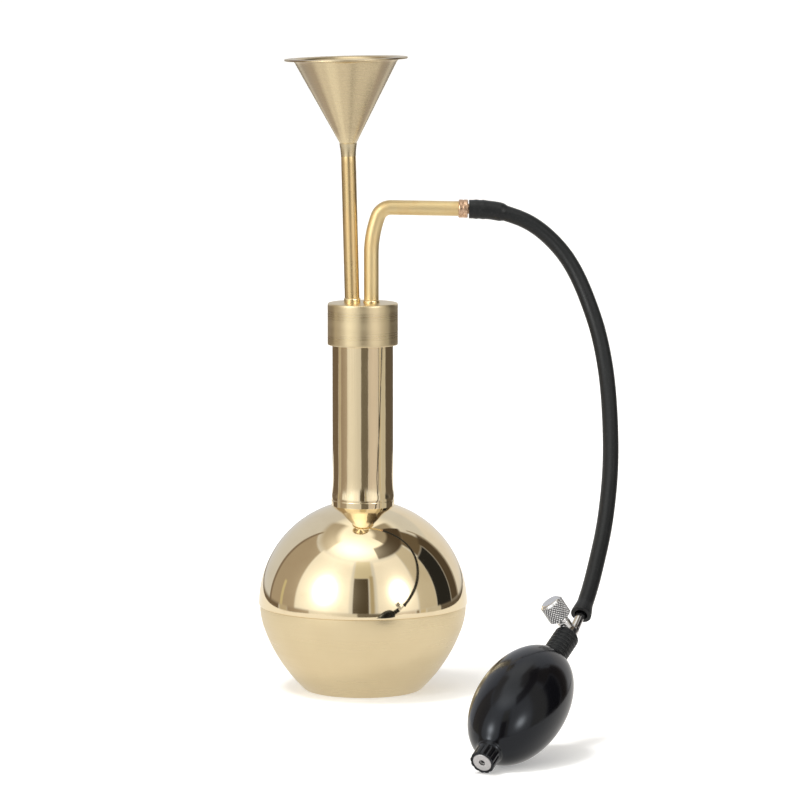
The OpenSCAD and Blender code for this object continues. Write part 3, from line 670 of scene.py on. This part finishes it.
funnel = {"spout": 7 * mm, "cone": 39.6 * mm, "coneFoot": 4.3 * mm, "brim": 29.2 * mm,
          "brimWidth": 4.4 * mm, "sheet": 0.9 * mm}
funnelBrass = makeMetal("funnelBrass", lambda mixer: funnelRecipe(mixer, stemTurn, stem["foot"]))
coneLow = stem["length"] + funnel["spout"]
coneHigh = coneLow + funnel["cone"]
lip = funnel["brim"] - funnel["brimWidth"]

# Spout: radius goes from the stem's to the cone's along a hollow curve, r = r0 + (r1 - r0) s^2
spoutShare = np.linspace(0, 1, 16)
spoutOutside = np.stack([tube["radius"] + 0.06 * mm + (funnel["coneFoot"] - tube["radius"]) * spoutShare ** 2,
                         stem["length"] + funnel["spout"] * spoutShare], 1)
brimFoot = coneHigh - funnel["sheet"]
funnelCorners = [
    (funnel["coneFoot"], coneLow), (lip, brimFoot), (funnel["brim"], brimFoot), (funnel["brim"], coneHigh),
    (lip - funnel["sheet"], coneHigh), (funnel["coneFoot"] - funnel["sheet"], coneLow + funnel["sheet"] / 3),
    (tube["bore"], coneLow - 3.5 * mm)]
funnelCuts = [0.8 * mm, 1.4 * mm, 0.35 * mm, 0.35 * mm, 1.2 * mm, 0.8 * mm, 0.2 * mm]
funnelOutline = filled(np.concatenate([
    softened(funnelCorners, funnelCuts, 7), [(tube["bore"], stem["length"])], spoutOutside[:-2]]), 1.2 * mm)
makePiece("funnel_cone", [turned(funnelOutline, stemFoot, stemAxis, around=192)], "head",
          funnelBrass, ["funnel"], sharp=50)
print("funnel built")


pipeBend = {"foot": 70 * mm, "slowRadius": 52 * mm, "slowAngle": 20, "tightRadius": 6.5 * mm, "slope": 1,
            "run": 35 * mm}
slow, turnSum = math.radians(pipeBend["slowAngle"]), math.radians(90 + pipeBend["slope"])
bendHeight = (pipeBend["slowRadius"] * math.sin(slow)
              + pipeBend["tightRadius"] * (math.sin(turnSum) - math.sin(slow)))
runStart = runEnd - pipeBend["run"] * runDirection
legTop = float(runStart[2]) - bendHeight


# Points of a bend in the XZ plane: start + R (cos f - cos a, 0, sin a - sin f), a from f to l
def bendPoints(start, radius, first, last, steps):
    a = np.linspace(first, last, steps)
    return start + radius * np.stack([math.cos(first) - np.cos(a), 0 * a, np.sin(a) - math.sin(first)], 1)


legEnd = np.array([pipeFoot[0], 0, legTop])
legPath = np.linspace([pipeFoot[0], 0, pipeBend["foot"]], legEnd, 60)[:-1]
slowPath = bendPoints(legEnd, pipeBend["slowRadius"], 0, slow, 24)
tightPath = bendPoints(slowPath[-1], pipeBend["tightRadius"], slow, turnSum, 28)[1:]
runPath = np.linspace(tightPath[-1], runEnd, 26)[1:]
pipePath = np.concatenate([legPath, slowPath, tightPath, runPath])

pipeBrass = makeMetal("pipeBrass", lambda mixer: tubeRecipe(mixer, rough=0.42))
makePiece("pipe_tube", [sweptShell(pipePath, tube["radius"], tube["bore"], (0, 1, 0), 72)], "head",
          pipeBrass, ["blow_pipe"])

# Ferrule and the barbed tail inside the hose
nipple = {"collar": 4.35 * mm, "collarBack": -2.9 * mm, "collarFront": 1.5 * mm, "groove": 0.18 * mm,
          "tail": 2.4 * mm, "tailLength": 8 * mm, "barb": 2.6 * mm, "bore": 1.6 * mm}
front, back = nipple["collarFront"], nipple["collarBack"]
nippleOutline = filled(softened([
    (tube["radius"], back), (nipple["collar"] - 0.25 * mm, back), (nipple["collar"], back + 0.5 * mm),
    (nipple["collar"], -1.0 * mm), (nipple["collar"] - nipple["groove"], -0.7 * mm),
    (nipple["collar"], -0.4 * mm),
    (nipple["collar"], front - 0.2 * mm), (nipple["collar"] - 0.3 * mm, front), (nipple["tail"], front),
    (nipple["tail"], front + 1.4 * mm), (nipple["barb"], front + 1.5 * mm),
    (nipple["tail"], front + 3.7 * mm),
    (nipple["tail"], front + nipple["tailLength"]), (nipple["bore"], front + nipple["tailLength"]),
    (nipple["bore"], 0), (tube["radius"], 0)], 0.15 * mm, 4), 0.5 * mm)


def nippleSwell(r, t, a):
    lumps = np.sin(5 * a + 1) * np.sin(900 * t + 2) + 0.5 * np.sin(11 * a + 1500 * t)
    return r + 0.05 * mm * lumps * (r > 4 * mm), t


makePiece("ferrule", [turned(nippleOutline, runEnd, runDirection, (0, 0, 1), 96, nippleSwell)], "head",
          copperFinish, ["hose_nipple"])
print("blow pipe built")


bulbAxis = unit(joints["bulb_squeeze"]["axis"])
knobAxis = unit(joints["release_turn"]["axis"])
knobOrigin = np.array(joints["release_turn"]["pos_m"], float)
bulb = {"knobAt": 56.2 * mm, "halfLength": 35.8 * mm, "radius": 20.4 * mm, "wall": 2.2 * mm,
        "tailEnd": 43.1 * mm, "headEnd": 51.9 * mm, "tailRadius": 5.6 * mm, "headRadius": 5.8 * mm,
        "tailBore": 4.45 * mm, "headBore": 4.05 * mm, "flutes": 12, "fluteDepth": 0.42 * mm,
        "ribPitch": 2.4 * mm, "ribDepth": 0.32 * mm, "rows": 150, "around": 240}
bulbMiddle = knobOrigin - bulb["knobAt"] * bulbAxis


# Radius of the egg at t: b sqrt(1 - (t / a)^2)
def eggRadius(t, a, b):
    return b * np.sqrt(np.maximum(1 - (t / a) ** 2, 0))


def eggPlace(radius, a, b):
    return a * math.sqrt(1 - (radius / b) ** 2)


tailJoin = -eggPlace(bulb["tailRadius"], bulb["halfLength"], bulb["radius"])
headJoin = eggPlace(bulb["headRadius"], bulb["halfLength"], bulb["radius"])
innerLength, innerRadius = bulb["halfLength"] - bulb["wall"], bulb["radius"] - bulb["wall"]
innerTail = -eggPlace(bulb["tailBore"], innerLength, innerRadius)
innerHead = eggPlace(bulb["headBore"], innerLength, innerRadius)

# Outside: collar and egg as the smooth maximum of their radii, so the collar runs into the egg in a fillet
outsideTurn = np.linspace(0, np.pi, bulb["rows"])
outsideT = np.concatenate([np.linspace(-bulb["tailEnd"] + 0.35 * mm, tailJoin - 1.5 * mm, 40),
                           (tailJoin - 1.2 * mm + headJoin) / 2
                           - (headJoin - tailJoin + 1.2 * mm) / 2 * np.cos(outsideTurn)])
eggOutside = eggRadius(outsideT, bulb["halfLength"], bulb["radius"])
collarFade = 1 - ease(outsideT, tailJoin, tailJoin + 5 * mm)
outsideR = (eggOutside ** 6 + (bulb["tailRadius"] * collarFade) ** 6) ** (1 / 6)
outsideR = np.where(outsideT < tailJoin - 1.3 * mm, bulb["tailRadius"], outsideR)
bead = 0.35 * mm * np.exp(-((outsideT - tailJoin + 0.9 * mm) / (0.6 * mm)) ** 2)
outside = np.stack([outsideR + bead, outsideT], 1)
insideTurn = np.linspace(0, np.pi, 50)
insideT = (innerHead + innerTail) / 2 + (innerHead - innerTail) / 2 * np.cos(insideTurn)
inside = np.stack([eggRadius(insideT, innerLength, innerRadius), insideT], 1)
tailLip = softened([(bulb["tailBore"], -bulb["tailEnd"] + 3 * mm), (bulb["tailBore"], -bulb["tailEnd"]),
                    (bulb["tailRadius"] - 0.05 * mm, -bulb["tailEnd"]),
                    (bulb["tailRadius"], -bulb["tailEnd"] + 0.5 * mm)], 0.3 * mm, 5, closed=False)
bulbOutline = np.concatenate([tailLip[:-1], outside, [(bulb["headBore"], headJoin)], inside])


# Flutes round the tail's collar: r loses depth (0.5 - 0.5 cos(n a)) where the collar is clear of the egg
def tailFlutes(r, t, a):
    clear = 1 - ease(t, tailJoin - 3.4 * mm, tailJoin - 1.6 * mm)
    outer = np.clip((r - bulb["tailBore"] - 0.4 * mm) / (0.6 * mm), 0, 1)
    scallop = np.abs(np.sin(bulb["flutes"] * a / 2)) ** 0.8
    return r - bulb["fluteDepth"] * (1 - scallop) * clear * outer, t


bulbRubber = makeFinish("bulbRubber", {"Specular IOR Level": 0.38, "Specular Tint": (0.84, 0.90, 1.0)},
                        bulbRecipe)
collarRubber = makeFinish("collarRubber", {"Specular IOR Level": 0.24}, hoseRecipe)
bulbHint = (0, 0, 1)
bulbGrid = turned(bulbOutline, bulbMiddle, bulbAxis, bulbHint, bulb["around"], tailFlutes)
bulbPiece = makePiece("bulb_rubber_body", [bulbGrid], "blower", bulbRubber, ["squeeze_bulb"])
squeeze = joints["bulb_squeeze"]["range_m"][1]
tuple(bulbMiddle + headJoin * bulbAxis)
1 - squeeze / (headJoin + bulb["tailEnd"])
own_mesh(bulbPiece)

# Head collar: a ribbed cuff, moulded on the egg, that grips the valve's plug
ribT = np.linspace(headJoin - 1.4 * mm, bulb["headEnd"] - 0.4 * mm, 96)
ribPhase = np.pi * (ribT - bulb["headEnd"]) / bulb["ribPitch"]
ribR = bulb["headRadius"] - bulb["ribDepth"] * np.sin(ribPhase) ** 2
ribR = ribR + 1.3 * mm * (1 - ease(ribT, headJoin - 1.4 * mm, headJoin + 1.2 * mm))
collarFoot = headJoin - 1.4 * mm
headLip = [(bulb["headRadius"], bulb["headEnd"] - 0.4 * mm),
           (bulb["headRadius"] - 0.1 * mm, bulb["headEnd"]),
           (bulb["headBore"], bulb["headEnd"]), (bulb["headBore"], collarFoot)]
headOutline = np.concatenate([
    np.stack([ribR, ribT], 1), softened(headLip, 0.3 * mm, 5, closed=False)[1:]])
makePiece("bulb_head_collar", [turned(headOutline, bulbMiddle, bulbAxis, bulbHint, 144)], "blower",
          collarRubber)
print("bulb built")


valve = {"flange": 4.7 * mm, "flangeHeight": 1.2 * mm, "block": 3.7 * mm, "blockHeight": 3.6 * mm,
         "boss": 2.9 * mm, "bossLength": 7.5 * mm, "plugFoot": 39.5 * mm, "plug": 4 * mm, "chamber": 2.2 * mm,
         "chamberHeight": 8 * mm, "tubeFoot": 52.3 * mm, "tubeOffset": 2.2 * mm, "tubeLean": 8.3,
         "tube": 2.35 * mm, "tubeBore": 1.1 * mm, "tubeLength": 22.7 * mm, "barb": 2.55 * mm,
         "needleBore": 1.5 * mm}
chrome = makeMetal("chrome", chromeRecipe)
headEnd = bulb["headEnd"]
blockFoot = headEnd + valve["flangeHeight"]
blockTop = blockFoot + valve["blockHeight"]
chamberTop = valve["plugFoot"] + valve["chamberHeight"]
blockCorners = [
    (valve["plug"], valve["plugFoot"]), (valve["plug"], headEnd), (valve["flange"], headEnd),
    (valve["flange"], blockFoot), (valve["block"], blockFoot), (valve["block"], blockTop),
    (0.3 * mm, blockTop)]
blockOutline = np.concatenate([
    [(valve["chamber"], valve["plugFoot"])],
    filled(softened(blockCorners, 0.3 * mm, 5, closed=False), 1 * mm, closed=False),
    [(0, blockTop), (0, chamberTop), (valve["chamber"], chamberTop)]])
blockGrid = turned(blockOutline, bulbMiddle, bulbAxis, bulbHint, 96)
boss, bossTop = valve["boss"], valve["bossLength"]
bossCorners = [
    (0, 0), (boss, 0), (boss, bossTop - 1.6 * mm), (boss - 0.35 * mm, bossTop - 1.3 * mm),
    (boss, bossTop - 1.0 * mm), (boss, bossTop), (valve["needleBore"], bossTop),
    (valve["needleBore"], 4 * mm), (0, 4 * mm)]
bossCuts = [0, 0.1 * mm, 0.2 * mm, 0.1 * mm, 0.2 * mm, 0.3 * mm, 0.2 * mm, 0.1 * mm, 0]
bossGrid = turned(filled(softened(bossCorners, bossCuts, 5), 0.8 * mm), knobOrigin, knobAxis, bulbAxis, 72)
tubeFoot = bulbMiddle + valve["tubeFoot"] * bulbAxis - valve["tubeOffset"] * knobAxis
tubeLean = math.radians(valve["tubeLean"])
tubeAxis = math.cos(tubeLean) * bulbAxis + math.sin(tubeLean) * knobAxis
tubeTop, tubeWaist = valve["tubeLength"], valve["tube"] - 0.18 * mm
tubeCorners = [
    (0, 0), (valve["tube"], 0), (valve["tube"], 7.7 * mm), (tubeWaist, 8 * mm),
    (tubeWaist, tubeTop - 2.2 * mm),
    (valve["barb"], tubeTop - 2.1 * mm), (2 * mm, tubeTop), (valve["tubeBore"], tubeTop),
    (valve["tubeBore"], 6 * mm), (0, 6 * mm)]
tubeGrid = turned(filled(softened(tubeCorners, 0.12 * mm, 4), 1 * mm), tubeFoot, tubeAxis, knobAxis, 72)
makePiece("valve_casting", [blockGrid, bossGrid, tubeGrid], "blower", chrome, ["valve_body"])

# Thumb screw: crossed ridges, r = R - depth (1 - |sin(n a / 2 + k t)| |sin(n a / 2 - k t)|)
knob = {"radius": 5.4 * mm, "foot": 8 * mm, "length": 9.4 * mm, "chamfer": 1.2 * mm, "ridges": 24,
        "depth": 0.42 * mm, "pitch": 0.72 * mm, "bore": 1.5 * mm, "boreDepth": 4.5 * mm,
        "rows": 92}
knobRadius, knobFoot = knob["radius"], knob["foot"]
knobTop = knobFoot + knob["length"]
knobEdge = knobTop - knob["chamfer"]
dishTop = knobTop - 0.15 * mm
boreTop = knobFoot + knob["boreDepth"]
ridgeRows = np.linspace(knobFoot + 0.4 * mm, knobEdge - 0.1 * mm, knob["rows"])
knobShoulder = [(knobRadius - 0.3 * mm, knobEdge), (knobRadius - knob["chamfer"], knobTop - 0.1 * mm),
                (knobRadius - 2 * mm, knobTop), (0.5 * mm, dishTop)]
knobOutline = np.concatenate([
    [(knob["bore"], boreTop), (knob["bore"], knobFoot), (knobRadius - 0.9 * mm, knobFoot),
     (knobRadius - 0.6 * mm, knobFoot + 0.1 * mm)],
    np.stack([np.full(knob["rows"], knobRadius), ridgeRows], 1),
    softened(knobShoulder, 0.5 * mm, 6, closed=False),
    [(0, dishTop), (0, boreTop)]])


def knurl(r, t, a):
    lead = np.pi * t / knob["pitch"] / 2
    phase = knob["ridges"] * a / 2
    crossed = np.abs(np.sin(phase + lead)) * np.abs(np.sin(phase - lead))
    side = (r > knobRadius - 0.05 * mm) & (t > knobFoot + 0.2 * mm)
    return r - side * knob["depth"] * (1 - crossed ** 0.7), t


knobSide, knobUp = acrossAxis(knobAxis, bulbAxis)
knobTurn = tuple(Matrix((knobSide, knobUp, unit(knobAxis))).transposed().to_euler())
knurled = makeMetal("knurled", knurlRecipe)
makePiece("thumb_screw", [turned(knobOutline, knobOrigin, knobAxis, bulbAxis, 400, knurl)], "thumb_screw",
          knurled, ["release_knob"], sharp=60)
print("release valve built")


inlet = {"radius": 4.35 * mm, "length": 10 * mm, "hole": 1.4 * mm, "throat": 1.2 * mm, "bore": 2.6 * mm,
         "seat": 2.4 * mm, "disc": 1.2 * mm}
discSteel = makeMetal("inletDisc", discRecipe)
inletHole, inletThroat = inlet["hole"], inlet["throat"]
inletCorners = [
    (inletHole, 0), (inlet["radius"], 0), (inlet["radius"], inlet["length"]),
    (inlet["bore"], inlet["length"]),
    (inlet["bore"], inlet["seat"]), (inletThroat, inlet["seat"]), (inletThroat, inlet["disc"]),
    (inletHole, inlet["disc"])]
inletCuts = [0.25 * mm, 0.5 * mm] + [0.1 * mm] * 6
inletGrid = turned(filled(softened(inletCorners, inletCuts, 5), 0.8 * mm),
                   bulbMiddle - bulb["tailEnd"] * bulbAxis, bulbAxis, bulbHint, 96)
makePiece("inlet_disc", [inletGrid], "bulb_tail", discSteel, ["inlet_housing"])

# The parts inside keep their own shapes and get their finishes
steel = makeMetal("steel", steelRecipe)
dimSteel = makeMetal("dimSteel", dimSteelRecipe)
seal = makeFinish("sealRubber", {}, sealRecipe)
insideParts = {"cap_gasket": seal, "needle_packing": seal, "funnel_sleeve": copperFinish,
               "outlet_seat": steel, "outlet_cage": steel, "outlet_ball": steel, "release_needle": steel,
               "inlet_retainer": steel, "inlet_ball": dimSteel}
for node, finish in insideParts.items():
    kept = frame["nodes"][node].data
    kept.materials.clear()
    kept.materials.append(finish)
print("valve parts finished")


studio = {"table": 0.45, "tableBack": 0.8, "sweep": 20.0, "lampPlace": (-0.75, -0.4, 2.8), "lampSize": 0.7,
          "lampPower": 42.0, "backdrop": (0.68, 0.69, 0.71),
          "ceiling": (1.15, 1.13, 1.06)}
floorTones = {"shade": (0.86, 0.86, 0.86), "shadeMirrored": (0.30, 0.29, 0.28),
              "lift": (0.28, 0.28, 0.28), "liftMirrored": (0.56, 0.55, 0.53)}


# Pale matt floor, a little dimmer as a mirror shows it
def floorRecipe(mixer):
    seen = mixer.node("ShaderNodeLightPath", output="Is Camera Ray")
    return {"Base Color": mixer.blend(seen, floorTones["shadeMirrored"], floorTones["shade"]),
            "Emission Color": mixer.blend(seen, floorTones["liftMirrored"], floorTones["lift"])}


# Floor: a square table top, and the sweep round it, which mirrors don't show
floorFinish = makeFinish("paleFloor", {"Roughness": 0.9, "Specular IOR Level": 0.1, "Emission Strength": 1.0},
                         floorRecipe)
near, far = studio["table"], studio["sweep"]
back = studio["tableBack"]
inner = [(-near, -near, 0), (near, -near, 0), (near, back, 0), (-near, back, 0)]
outer = [(-far, -far, 0), (far, -far, 0), (far, far, 0), (-far, far, 0)]
floorFaces = {"table": (inner, [(0, 1, 2, 3)]),
              "sweep": (inner + outer, [(0, 4, 5, 1), (1, 5, 6, 2), (2, 6, 7, 3), (3, 7, 4, 0)])}
for name, (corners, faces) in floorFaces.items():
    floorMesh = bpy.data.meshes.new(name)
    floorMesh.from_pydata(corners, [], faces)
    floorMesh.materials.append(floorFinish)
    floorObject = bpy.data.objects.new(name, floorMesh)
    floorObject.visible_glossy = name == "table"
    bpy.context.scene.collection.objects.link(floorObject)

lampData = bpy.data.lights.new("lamp", "AREA")
lampData.energy = studio["lampPower"]
lampData.size = studio["lampSize"]
lampObject = bpy.data.objects.new("lamp", lampData)
lampObject.location = studio["lampPlace"]
lampAim = -np.array(studio["lampPlace"])
lampObject.rotation_euler = (math.atan2(math.hypot(lampAim[0], lampAim[1]), -lampAim[2]), 0,
                             math.atan2(lampAim[1], lampAim[0]) - math.pi / 2)
lampObject.visible_glossy = False
bpy.context.scene.collection.objects.link(lampObject)

# Panels of the studio, each a soft-edged patch of sky: from and to in degrees round (0 is the front, 90 the
# pipe's side), from and to in degrees up, the width of its soft edge and its light
panels = {
    "backdropLeft": ((-181, -127), (-4, 58), 3, (0.67, 0.68, 0.71)),
    "wallLeft": ((-126, -80), (-4, 52), 2, (0.42, 0.36, 0.29)),
    "wallLeftDark": ((-127, -121), (-4, 56), 2, (0.24, 0.19, 0.15)),
    "wallLeftLamp": ((-105, -99), (-4, 16), 2, (0.62, 0.56, 0.36)),
    "ceilingLeft": ((-150, -72), (50, 74), 8, (0.46, 0.41, 0.34)),
    "softboxLeft": ((-83, -13), (-4, 56), 4, (0.94, 0.93, 0.90)),
    "stripTop": ((-13, 14), (34, 57), 3, (0.62, 0.58, 0.45)),
    "strip": ((-12, 8), (-4, 37), 2, (0.075, 0.058, 0.036)),
    "stripEdge": ((7, 15), (-4, 40), 3, (0.44, 0.38, 0.26)),
    "softboxRight": ((15, 66), (-4, 56), 4, (0.92, 0.90, 0.87)),
    "wallRight": ((64, 92), (-4, 58), 3, (0.58, 0.54, 0.46)),
    "ceilingRight": ((64, 152), (58, 84), 6, (0.37, 0.33, 0.27)),
    "archRight": ((28, 134), (55, 72), 3, (0.075, 0.055, 0.036)),
    "doorwayTop": ((92, 128), (38, 60), 4, (0.14, 0.11, 0.075)),
    "doorway": ((90, 116), (-4, 41), 2, (0.022, 0.022, 0.022)),
    "backdropRight": ((131, 181), (-4, 36), 6, (0.80, 0.78, 0.76)),
    "doorwayEdge": ((114, 132), (-4, 44), 3, (0.085, 0.065, 0.045)),
    "trim": ((130, 133), (-4, 50), 1, (0.30, 0.25, 0.20))}
# What stands beyond the table's edge, seen just below the horizon: from and to in degrees round, and light
lowPanels = {
    "backLeft": ((-181, -105), (0.17, 0.13, 0.095)),
    "trimLeft": ((-106, -91), (0.52, 0.46, 0.36)),
    "sideLeft": ((-93, -60), (0.34, 0.28, 0.22)),
    "frontLeft": ((-62, -4), (0.66, 0.64, 0.60)),
    "middle": ((-7, 22), (0.17, 0.15, 0.12)),
    "frontRight": ((20, 61), (0.62, 0.56, 0.52)),
    "lineRight": ((60, 66), (0.24, 0.19, 0.13)),
    "trimRight": ((65, 75), (0.60, 0.53, 0.40)),
    "sideRight": ((74, 97), (0.58, 0.55, 0.48)),
    "backRight": ((95, 165), (0.12, 0.10, 0.08)),
    "back": ((163, 181), (0.60, 0.56, 0.50))}
for name, (around, light) in lowPanels.items():
    panels[name] = (around, (-16, -1), 2.5, light)
# Glows inside the panels: place round and up, width and height in degrees, and light
glows = {
    "glowLeft": (-45, 20, 26, 24, 0.7),
    "bulbLeft": (-45, 20, 10, 10, 7.0),
    "glowRight": (43, 19, 16, 18, 0.6),
    "bulbRight": (43, 19, 8, 8, 7.0),
    "glowTop": (-28, 68, 60, 13, 1.0)}

world = bpy.data.worlds.new("studio")
bpy.context.scene.world = world
sky = Mixer(world)
skyPlace = sky.node("ShaderNodeTexCoord", output="Generated")
skyX, skyY, skyZ = sky.parts(skyPlace)
degrees = 180 / math.pi
skyRound = skyX.mathWith("ARCTAN2", skyX, -skyY) * degrees
skyUp = skyZ.mathWith("ARCSINE", skyZ) * degrees


skyLight = sky.blend(sky.rise(skyUp, 50, 72), studio["backdrop"], studio["ceiling"])
for around, height, soft, light in panels.values():
    mask = span(sky, skyRound, around, soft) * span(sky, skyUp, height, soft)
    skyLight = sky.blend(mask, skyLight, light)
for around, height, wide, tall, light in glows.values():
    spread = ((skyRound - around) / wide) ** 2 + ((skyUp - height) / tall) ** 2
    amount = spread.mathWith("EXPONENT", -spread) * light
    skyLight = sky.node("ShaderNodeMix", {"data_type": "RGBA", "blend_type": "ADD", "clamp_factor": False},
                        {0: amount, 6: skyLight, 7: (1.0, 1.0, 0.96)}, output=2)
background = sky.tree.nodes["Background"]
sky.feed(background.inputs["Color"], skyLight)
plain = sky.node("ShaderNodeBackground", {}, {"Color": (1.0, 1.0, 1.0), "Strength": 1.1})
seen = sky.node("ShaderNodeLightPath", output="Is Camera Ray")
both = sky.node("ShaderNodeMixShader", {}, {0: seen, 1: Signal(sky, background.outputs[0]), 2: plain})
sky.feed(sky.tree.nodes["World Output"].inputs["Surface"], both)
print("studio lit")
